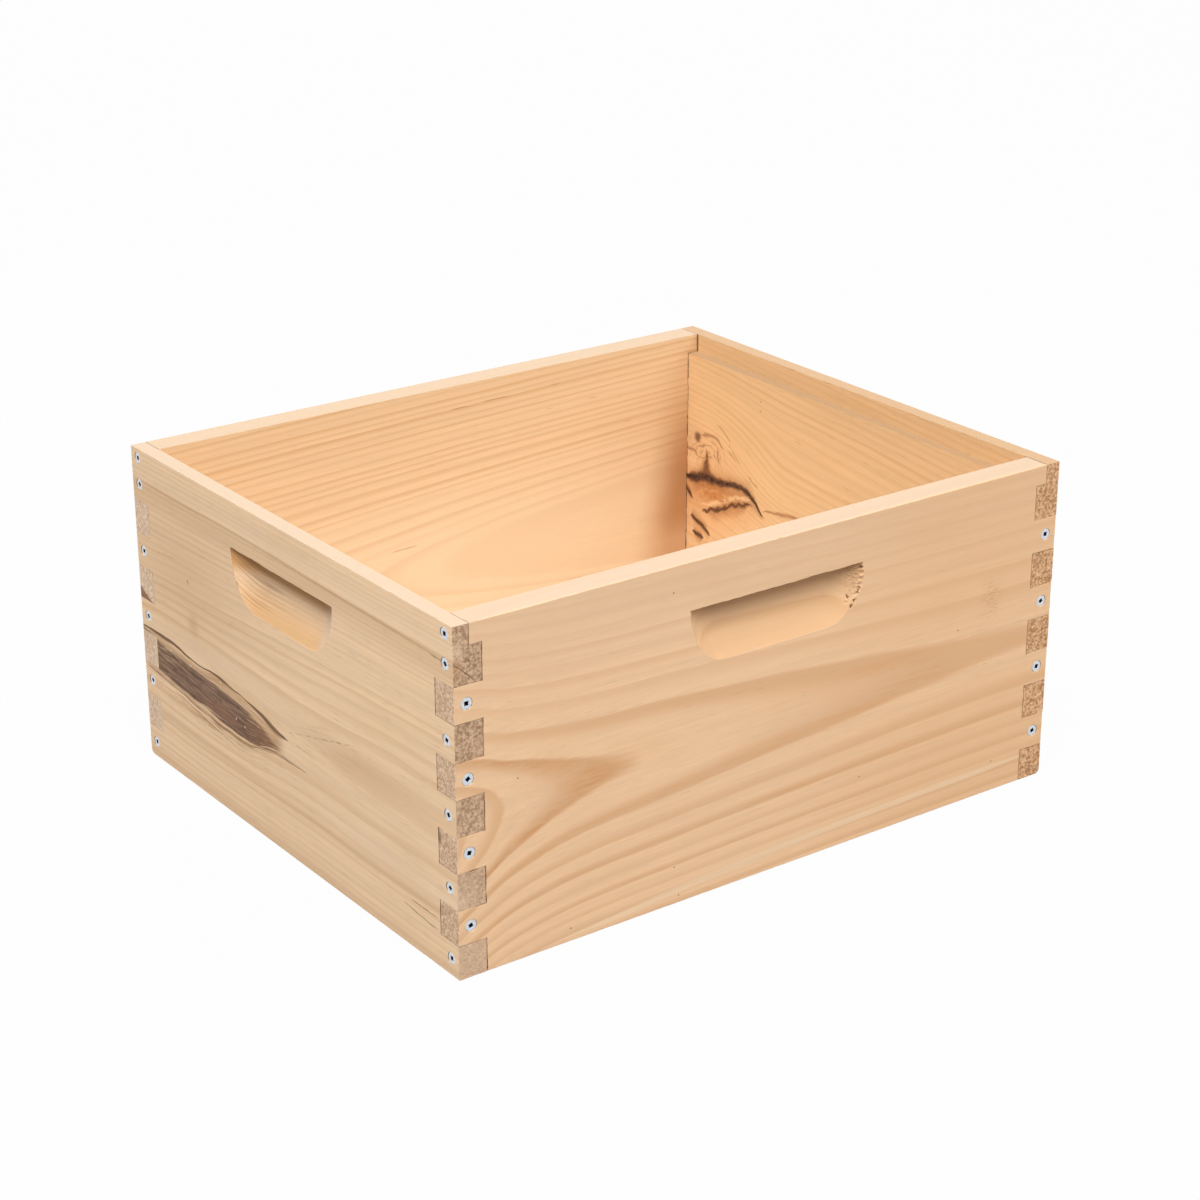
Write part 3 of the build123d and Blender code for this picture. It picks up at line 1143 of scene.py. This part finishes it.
rear_tones = {
    "early": tint(226, 188, 141),
    "late": tint(202, 152, 102),
    "patch": tint(220, 178, 128),
    # The rim colour is painted shade: darker than the faces, for the top faces.
    "rim": tint(168, 136, 103),
    "end_light": tint(238, 194, 150),
    "end_dark": tint(160, 112, 72),
    "evenness": 0.3,
    "contrast": lambda *place: 0.42,
    "fibre": 0.14,
    "seed": 3000.0,
    "duct_rarity": 0.84,
    "duct_strength": 0.35,
}
rear_pine = pine("pine_rear_end", rear_place, rear_growth, rear_tones, rear_marks)

# %% [markdown]
# ## From the frame and back
# The frame's meshes are loose triangles and are never changed, so each piece starts as a merged copy of its
# node. When it is finished, the new piece hangs on the root body and the node is hidden.

# %% Copies and pieces
merge_reach = 0.001 * MM


def merged_copy(node):
    mesh = bmesh.new()
    mesh.from_mesh(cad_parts[node].data)
    bmesh.ops.remove_doubles(mesh, verts=mesh.verts, dist=merge_reach)
    return mesh


def stand_for(node, name, mesh, material):
    """Makes an object of a finished mesh, hangs it on the root body and hides the frame's node."""
    data = bpy.data.meshes.new(name)
    mesh.to_mesh(data)
    mesh.free()
    data.shade_smooth()
    data.materials.append(material)
    piece = bpy.data.objects.new(name, data)
    bpy.context.scene.collection.objects.link(piece)
    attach(piece, "root")
    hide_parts(node)
    print(f"{name}: {len(data.polygons)} faces")
    return piece


print(f"{len(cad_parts)} nodes to dress")

# %% [markdown]
# ## Eased edges
# A planed board has no knife-sharp edges: handling rounds them a little, and unevenly. A Bevel modifier
# would round them all alike, so the edges are chosen here. Each copy is cleared of the triangles inside its
# flat faces. Then its straight edges and the rims of its hand hold and screw holes are cut into short
# lengths and bevelled.

# %% Easing: which edges
narrow_face = 0.6 * MM
touching = 0.01 * MM
least_fold = radians(20)
square_share = 0.9999


def is_flat(face):
    """Whether a face looks along X, Y or Z, as a planed or sawn face does."""
    return max(abs(axis) for axis in face.normal) > square_share


def is_narrow(face):
    return min(edge.calc_length() for edge in face.edges) < narrow_face and len(face.edges) == 4


def outer_depth(place, along_axis):
    """How far below the outer face a place lies. Side boards run along axis 0, end boards along axis 1."""
    if along_axis == 0:
        return half_width * MM - abs(place.y)
    return half_length * MM - abs(place.x)


def edges_to_ease(mesh, along_axis):
    """The outward edges between flat faces, and all outward edges that lie in the outer face."""
    chosen = []
    for edge in mesh.edges:
        if len(edge.link_faces) != 2 or not edge.is_convex or edge.calc_face_angle() < least_fold:
            continue
        first, second = edge.link_faces
        square = is_flat(first) and is_flat(second) and not is_narrow(first) and not is_narrow(second)
        if square or all(outer_depth(vert.co, along_axis) < touching for vert in edge.verts):
            chosen.append(edge)
    return chosen


print(f"flat faces under {narrow_face / MM:.1f} mm count as narrow")

# %% Easing: cuts and bevels
ease_width = 0.45 * MM
edge_piece = 2.5 * MM
flat_angle = radians(0.2)


def split_edges(edges):
    """Cuts long edges into short pieces, so that they can wear unevenly."""
    pieces = []
    for edge in edges:
        count = int(edge.calc_length() // edge_piece)
        for left in range(count, 0, -1):
            new_edge, corner = bmesh.utils.edge_split(edge, edge.verts[0], 1 / (left + 1))
            pieces.append(new_edge)
        pieces.append(edge)
    return pieces


def bare_board(node):
    """A merged copy of a board from the frame, with whole flat faces."""
    mesh = merged_copy(node)
    bmesh.ops.dissolve_limit(mesh, angle_limit=flat_angle, verts=mesh.verts, edges=mesh.edges)
    mesh.normal_update()
    return mesh


def ease(mesh, along_axis):
    """Bevels the edges and gives back the new vertices."""
    pieces = split_edges(edges_to_ease(mesh, along_axis))
    made = bmesh.ops.bevel(mesh, geom=pieces, offset=ease_width, affect="EDGES", segments=2, profile=0.5,
                           material=-1, clamp_overlap=True)
    mesh.normal_update()
    return made["verts"]


print(f"edges eased by {ease_width / MM:.2f} mm in pieces of {edge_piece / MM:.1f} mm")

# %% [markdown]
# ## Wear
# Eased edges are rubbed down by a little noise, with a deeper nick here and there. The shoulders of the
# joints stand a hair off their neighbours. A vertex that belongs to a flat face only moves within that face,
# so the faces stay flat and catch the light evenly. Sculpting would do as well, but noise gives the same
# wear on every run.

# %% Wear
wear_depth = 0.6 * MM
wear_wave = 9.0 * MM
wear_ripple = 2.5 * MM
ripple_shift = Vector((7, 3, 1))
nick_depth = 0.9 * MM
nick_gap = 6.0 * MM
nick_shift = Vector((2, 9, 4))
nick_rarity = 0.42
nick_gain = 3.0
shoulder_slack = 0.5 * MM
shoulder_reach = 1.0 * MM


def shoulder_share(place, along_axis):
    """1 at the shoulders of a board's finger joints, and 0 elsewhere."""
    half_grain = (half_length, half_width)[along_axis]
    gap = abs(place[along_axis]) - (half_grain - board_thickness) * MM
    return float(abs(gap) < shoulder_reach and outer_depth(place, along_axis) < shoulder_reach)


def wear_at(place, along_axis):
    """How far an edge is worn at a place."""
    coarse = noise.noise(place / wear_wave)
    fine = noise.noise(place / wear_ripple + ripple_shift)
    nick = max(0.0, noise.noise(place / nick_gap + nick_shift) - nick_rarity)
    slack = shoulder_share(place, along_axis) * max(0.0, 0.6 + coarse)
    rubbed = max(0.0, 0.5 * coarse + 0.5 * fine)
    return rubbed * wear_depth + nick * nick_gain * nick_depth + slack * shoulder_slack


def wear(verts, along_axis):
    moves = []
    for vert in verts:
        inward = -vert.normal
        for face in vert.link_faces:
            if is_flat(face):
                inward = inward - face.normal * inward.dot(face.normal)
        moves.append((vert, inward * wear_at(vert.co, along_axis)))
    for vert, move in moves:
        vert.co += move


print(f"wear up to {wear_depth / MM:.1f} mm, nicks up to {nick_depth / MM:.1f} mm")

# %% [markdown]
# ## Hand holds
# A router cut the hand holds. Their upper lip wavers a little, and on the right board the cutter tore the
# wood at one end. Bump could darken that end, but only real pits break its outline. So the surface there is
# cut into small squares, and those inside each pit are pushed into the wood.

# %% Hand holds: lips
lip_band = 0.8 * MM
lip_waver = 0.5 * MM
lip_middle = 50.0 * MM
facing_down = -0.99


def waver_lip(mesh, along_axis):
    """Moves the lip of the hand hold up and down by a little noise."""
    walls = [face.calc_center_median() for face in mesh.faces if face.normal.z < facing_down]
    lip = max(middle.z for middle in walls if abs(middle[along_axis]) < lip_middle)
    for vert in mesh.verts:
        if abs(vert.co.z - lip) < lip_band and outer_depth(vert.co, along_axis) < lip_band:
            along = vert.co[along_axis] / MM
            slow = noise.noise(Vector((along / 22.0, 0.0, 4.0)))
            quick = noise.noise(Vector((along / 5.0, 3.0, 8.0)))
            vert.co.z += (slow + 0.6 * quick) * lip_waver


print(f"lips waver by {lip_waver / MM:.1f} mm")

# %% Hand holds: small squares


def parts_of(faces):
    """The faces with their edges and vertices, as the cutting operator wants them."""
    edges = {edge for face in faces for edge in face.edges}
    verts = {vert for face in faces for vert in face.verts}
    return [*faces, *edges, *verts]


def cut(mesh, parts, axis, level):
    """Cuts some parts of a mesh along a plane, and gives them back with what the cut added."""
    normal = Vector([float(axis == number) for number in range(3)])
    return bmesh.ops.bisect_plane(mesh, geom=parts, plane_co=normal * level, plane_no=normal)["geom"]


def reaches(face, low, high):
    """Whether a face's own box overlaps a box."""
    spans = [[vert.co[axis] for vert in face.verts] for axis in range(3)]
    return all(min(span) < high[axis] and max(span) > low[axis] for axis, span in enumerate(spans))


def lies_in(face, low, high):
    """Whether a face's middle lies in a box."""
    middle = face.calc_center_median()
    return all(low[axis] < middle[axis] < high[axis] for axis in range(3))


def fine_squares(mesh, low, high, step):
    """Cuts the surface inside a box into small squares and gives their vertices."""
    parts = parts_of([face for face in mesh.faces if reaches(face, low, high)])
    for axis in (0, 2):
        parts = cut(mesh, parts, axis, low[axis])
        parts = cut(mesh, parts, axis, high[axis])
    faces = [part for part in parts if isinstance(part, bmesh.types.BMFace)]
    parts = parts_of([face for face in faces if lies_in(face, low, high)])
    for axis in (0, 2):
        for number in range(1, int((high[axis] - low[axis]) / step)):
            parts = cut(mesh, parts, axis, low[axis] + number * step)
    return [part for part in parts if isinstance(part, bmesh.types.BMVert)]


print("squares ready")

# %% Hand holds: torn end
torn_pits = [(325.8, 37.5, 1.4), (326.4, 41.5, 1.6), (326.4, 45.5, 1.6), (325.4, 49.0, 1.8),
             (324.0, 52.5, 1.8), (322.2, 55.5, 1.3), (316.6, 57.5, 1.2), (320.4, 60.0, 1.5),
             (317.6, 63.2, 1.4), (314.8, 60.6, 0.9)]
torn_from, torn_to = 311.0, 330.0
torn_top, torn_bottom = 33.0, 68.0
torn_out, torn_in = 1.0, 13.0
torn_low = Vector((torn_from - half_length, -half_width - torn_out, box_height - torn_bottom)) * MM
torn_high = Vector((torn_to - half_length, torn_in - half_width, box_height - torn_top)) * MM
square_size = 0.6 * MM
shake_size = 1.6 * MM
pit_share = 0.6


def tear_hand_hold(mesh):
    """Pushes pits into the torn end of the right board's hand hold."""
    for vert in fine_squares(mesh, torn_low, torn_high, square_size):
        grain = vert.co.x / MM + half_length
        down = box_height - vert.co.z / MM
        shake = noise.noise(vert.co / shake_size)
        deep = 0.0
        for along, level, size in torn_pits:
            gap = ((grain - along) ** 2 + (down - level) ** 2) ** 0.5 / (size * 1.2) + shake * 0.4
            deep = max(deep, (1.0 - gap * gap) * size * pit_share)
        vert.co.y += deep * MM
    mesh.normal_update()


print(f"{len(torn_pits)} pits in squares of {square_size / MM:.1f} mm")

# %% [markdown]
# ## The four boards
# Now each board goes through the same steps. Round faces are shaded smooth, but every edge of a flat face
# stays sharp, because otherwise the shading of the bevel would bleed across the whole board.

# %% Boards
crease_angle = radians(18)


def mark_creases(mesh):
    for edge in mesh.edges:
        faces = edge.link_faces
        same = len(faces) == 2 and is_flat(faces[0]) == is_flat(faces[1])
        edge.smooth = same and edge.calc_face_angle() < crease_angle


def finished_board(node, material, along_axis, finish=None):
    """A board with eased and worn edges in place of the frame's own."""
    mesh = bare_board(node)
    wear(ease(mesh, along_axis), along_axis)
    waver_lip(mesh, along_axis)
    if finish:
        finish(mesh)
    mesh.normal_update()
    mark_creases(mesh)
    board = stand_for(node, f"{node}_planed", mesh, material)


finished_board("right_side_board", right_pine, 0, tear_hand_hold)
finished_board("left_side_board", left_pine, 0)
finished_board("front_end_board", front_pine, 1)
finished_board("rear_end_board", rear_pine, 1)

# %% [markdown]
# ## Screws
# The screws are steel with a bright zinc plating, driven a hair below the wood. Their square recesses are
# painted near black as shade, because little light gets out of them. Plating softens every edge, so the
# edges of the heads are bevelled, and only those, because the wood hides the rest.

# %% Zinc
zinc_grain = 1.1


def zinc(name, head_axis, head_level):
    """Zinc plating, painted near black as shade below the level of the heads, given along an axis in
    millimetres.
    """
    material, split = new_material(name)
    flecks = clouds(vector(*[place / zinc_grain for place in split]), 3.0, 0.6)
    # Painted shade: the square recess and the edges below the head's level turn near black.
    painted_recess_shade = smooth(head_level - abs(split[head_axis]), 0.08, 0.34)
    colour = mix(smooth(flecks, -0.4, 0.6), tint(196, 202, 210), tint(232, 236, 240))
    colour = mix(painted_recess_shade, colour, tint(22, 26, 34))
    rough = 0.3 + flecks * 0.06 + painted_recess_shade * 0.3
    inputs = {"Base Color": colour, "Roughness": rough, "Metallic": 1.0 - painted_recess_shade * 0.6}
    surface = colour.node("ShaderNodeBsdfPrincipled", None, inputs, "BSDF")
    surface.node("ShaderNodeOutputMaterial", None, {"Surface": surface})
    return material


end_head_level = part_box("rear_right_end_screws")[1].x / MM
side_head_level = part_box("rear_left_side_screws")[1].y / MM
end_zinc = zinc("zinc_end_screws", 0, end_head_level)
side_zinc = zinc("zinc_side_screws", 1, side_head_level)
print(f"heads at {end_head_level:.2f} mm along X and {side_head_level:.2f} mm along Y")

# %% Screws
head_round = 0.33 * MM
head_fold = radians(30)
screw_crease = radians(40)


def plated_screws(node, material, head_axis, head_level):
    """A row of screws whose heads have rounded edges."""
    mesh = merged_copy(node)
    mesh.normal_update()
    heads = {vert for vert in mesh.verts if abs(vert.co[head_axis]) > head_level * MM - touching}
    tops = [edge for edge in mesh.edges if heads.issuperset(edge.verts)]
    rims = [edge for edge in tops if edge.calc_face_angle(0.0) > head_fold]
    bmesh.ops.bevel(mesh, geom=rims, offset=head_round, affect="EDGES", segments=2, profile=0.5, material=-1,
                    clamp_overlap=True)
    mesh.normal_update()
    for edge in mesh.edges:
        edge.smooth = edge.calc_face_angle(0.0) < screw_crease
    screws = stand_for(node, f"{node}_plated", mesh, material)


for node in [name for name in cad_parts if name.endswith("_screws")]:
    if "_end_" in node:
        plated_screws(node, end_zinc, 0, end_head_level)
    else:
        plated_screws(node, side_zinc, 1, side_head_level)

# %% [markdown]
# ## Floor
# The box stands on pale paper, with a white sheet inside it that throws light up its inner walls. The floor
# would have to be very bright to come out white by itself, so the camera and reflections see it almost as
# plain white, while its shadows and its bounce light stay real.

# %% Floor
floor_size = 60.0
floor_grey = (0.35, 0.35, 0.35, 1.0)
sheet_white = (0.75, 0.75, 0.75, 1.0)
sheet_margin = 2.0
sheet_fade = 20.0
pure_white = (1.0, 1.0, 1.0, 1.0)
white_share = 0.975

floor_mesh = bmesh.new()
bmesh.ops.create_grid(floor_mesh, x_segments=1, y_segments=1, size=floor_size / 2)
floor_data = bpy.data.meshes.new("floor")
floor_mesh.to_mesh(floor_data)
floor_mesh.free()
floor = bpy.data.objects.new("floor", floor_data)
bpy.context.scene.collection.objects.link(floor)


def seen_ray(wire):
    """1 for rays from the camera, from reflections and through clear things."""
    kinds = ("Is Camera Ray", "Is Glossy Ray", "Is Transmission Ray")
    return most([wire.node("ShaderNodeLightPath", None, None, kind) for kind in kinds])


paper, paper_place = new_material("white_paper")
sheet = smooth(abs(paper_place[0]), half_length - sheet_margin, half_length - sheet_fade)
sheet = sheet * smooth(abs(paper_place[1]), half_width - sheet_margin, half_width - sheet_fade)
matte = sheet.node("ShaderNodeBsdfDiffuse", None, {"Color": mix(sheet, floor_grey, sheet_white)})
white = sheet.node("ShaderNodeEmission", None, {"Color": pure_white, "Strength": 1.0})
surface = sheet.node("ShaderNodeMixShader", None, {0: seen_ray(sheet) * white_share, 1: matte, 2: white})
surface.node("ShaderNodeOutputMaterial", None, {"Surface": surface})
floor_data.materials.append(paper)
print(f"floor {floor_size:.0f} m wide")

# %% [markdown]
# ## Light
# Large softboxes stand around the near corner: the main one in front of it, a lower one to the right and a
# high one to the left. They are wide and far off, so the shadows under the hand holds' lips are soft. A
# weaker one behind the box keeps its back from going dark, and the room adds a little. A picture of a
# studio could light it too, but lamps are easier to turn and to dim.

# %% Room
room_light = 0.04
world = bpy.data.worlds.new("white_room")
world.use_nodes = True
world.node_tree.nodes.clear()
path = Wire(world.node_tree.nodes.new("ShaderNodeLightPath").outputs["Is Camera Ray"])
room = path.node("ShaderNodeBackground", None, {"Color": pure_white, "Strength": room_light})
backdrop = path.node("ShaderNodeBackground", None, {"Color": pure_white, "Strength": 1.0})
sky = path.node("ShaderNodeMixShader", None, {0: seen_ray(path), 1: room, 2: backdrop})
sky.node("ShaderNodeOutputWorld", None, {"Surface": sky})
bpy.context.scene.world = world
print(f"room light {room_light}")

# %% Lamps
box_middle = Vector((0.0, 0.0, 0.1))
lamp_reach = 5.2
lamp_width = 4.0


def soft_box(name, turn, rise, power):
    """A softbox aimed at the box. Its turn runs from +X to +Y and its rise from the floor, in degrees."""
    light = bpy.data.lights.new(name, "AREA")
    light.size = lamp_width
    light.energy = power
    lamp = bpy.data.objects.new(name, light)
    around = Vector((cos(radians(turn)), sin(radians(turn)), 0.0))
    towards = around * cos(radians(rise)) + Vector((0.0, 0.0, sin(radians(rise))))
    lamp.location = box_middle + towards * lamp_reach
    lamp.rotation_euler = towards.to_track_quat("Z", "Y").to_euler()
    lamp.visible_camera = False
    bpy.context.scene.collection.objects.link(lamp)
    print(f"{name} lamp {power:.0f} W")


soft_box("main", turn=225.0, rise=55.0, power=330.0)
soft_box("right", turn=325.0, rise=38.0, power=154.0)
soft_box("left", turn=180.0, rise=70.0, power=117.0)
soft_box("back", turn=62.0, rise=28.0, power=135.0)
bpy.context.scene.view_settings.view_transform = "Standard"
